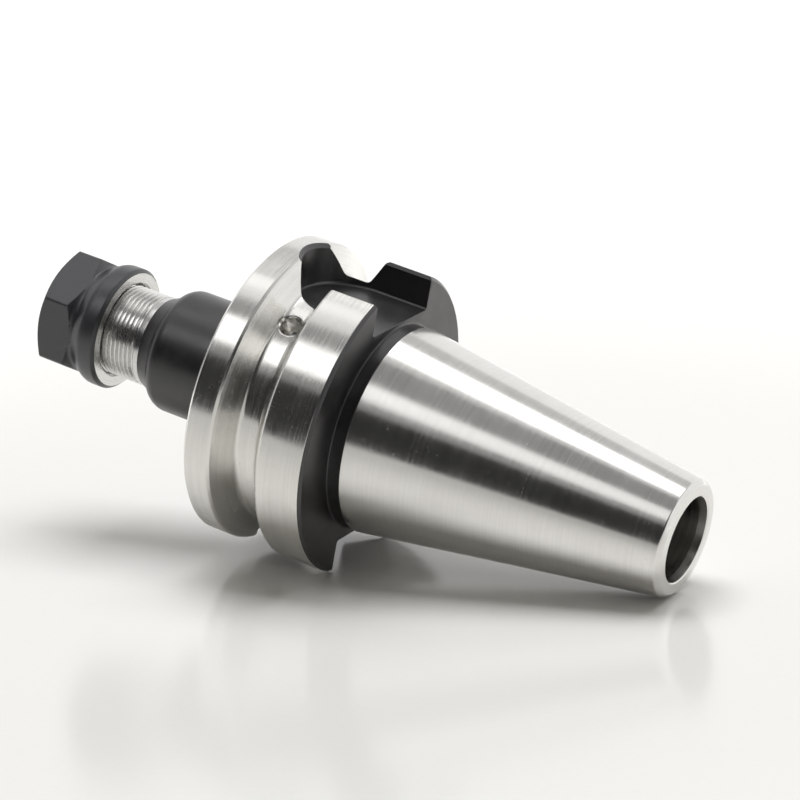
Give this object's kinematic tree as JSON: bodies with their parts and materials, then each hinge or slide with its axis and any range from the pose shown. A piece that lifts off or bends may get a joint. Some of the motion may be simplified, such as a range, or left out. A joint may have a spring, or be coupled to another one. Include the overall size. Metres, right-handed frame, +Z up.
{
  "type": "collet chuck holder",
  "caption": "Steel tool holder with a steep spindle taper, a grooved flange with drive slots, and a slender nose whose hexagonal nut closes a slotted spring collet on a tool.",
  "frame": {"origin": "centre of the taper's gauge line, on the spindle axis", "axes": "+Z up as the holder lies; the spindle axis is in the XZ plane, its small end down towards +X and its nose raised towards -X; the drive slots face up and down, and +Y runs across them"},
  "size_m": [0.1068, 0.046, 0.0476],
  "materials": {
    "ground_steel": "ground bright, with fine turning and grinding marks round the axis",
    "black_oxide": "satin black oxide",
    "collet_steel": "fine ground spring steel"
  },
  "bodies": {
    "holder": {"holder_body": "ground_steel"},
    "collet": {"spring_collet": "collet_steel"},
    "nut": {"clamping_nut": "black_oxide"}
  },
  "joints": [
    {"name": "collet_slide", "type": "slide", "parent": "holder", "child": "collet", "axis": [-0.9709, 0, 0.2397], "range_m": [-0.00026, 0.00301]},
    {"name": "nut_turn", "type": "hinge", "parent": "collet", "child": "nut", "pos_m": [-0.05063, 0, 0.0125], "axis": [-0.9709, 0, 0.2397], "range_deg": [-120, 1440]}
  ],
  "couplings": [
    {"joint": "collet_slide", "follows": "nut_turn", "m_per_rad": 0.00011937}
  ]
}
